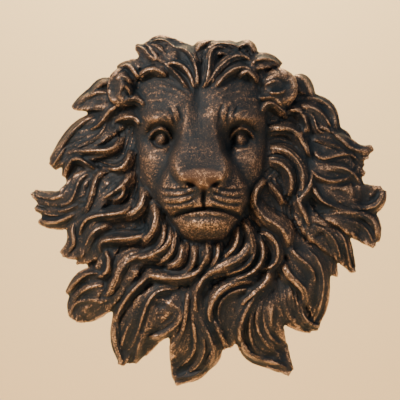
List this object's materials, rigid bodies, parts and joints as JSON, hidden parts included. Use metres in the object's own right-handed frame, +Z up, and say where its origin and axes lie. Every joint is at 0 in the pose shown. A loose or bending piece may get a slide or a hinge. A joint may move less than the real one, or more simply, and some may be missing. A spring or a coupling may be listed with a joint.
{
  "type": "lion head wall planter",
  "caption": "Wall-hung planter cast as a lion's head with a flame-like mane; a pot pocket opens at the top behind the head.",
  "frame": {"origin": "on the flat back, level with the lion's upper lip, where the back lies on the wall", "axes": "+Z up, +X to the viewer's right, -Y out of the wall the way the lion looks, +Y into the wall"},
  "size_m": [0.3596, 0.1132, 0.3505],
  "materials": {
    "bronze_patina": "cast resin, hand finished as old bronze: blue-black in the hollows, brown on the flats, rubbed copper on the ridges"
  },
  "bodies": {
    "root": {"lion_head_planter": "bronze_patina"}
  },
  "joints": []
}
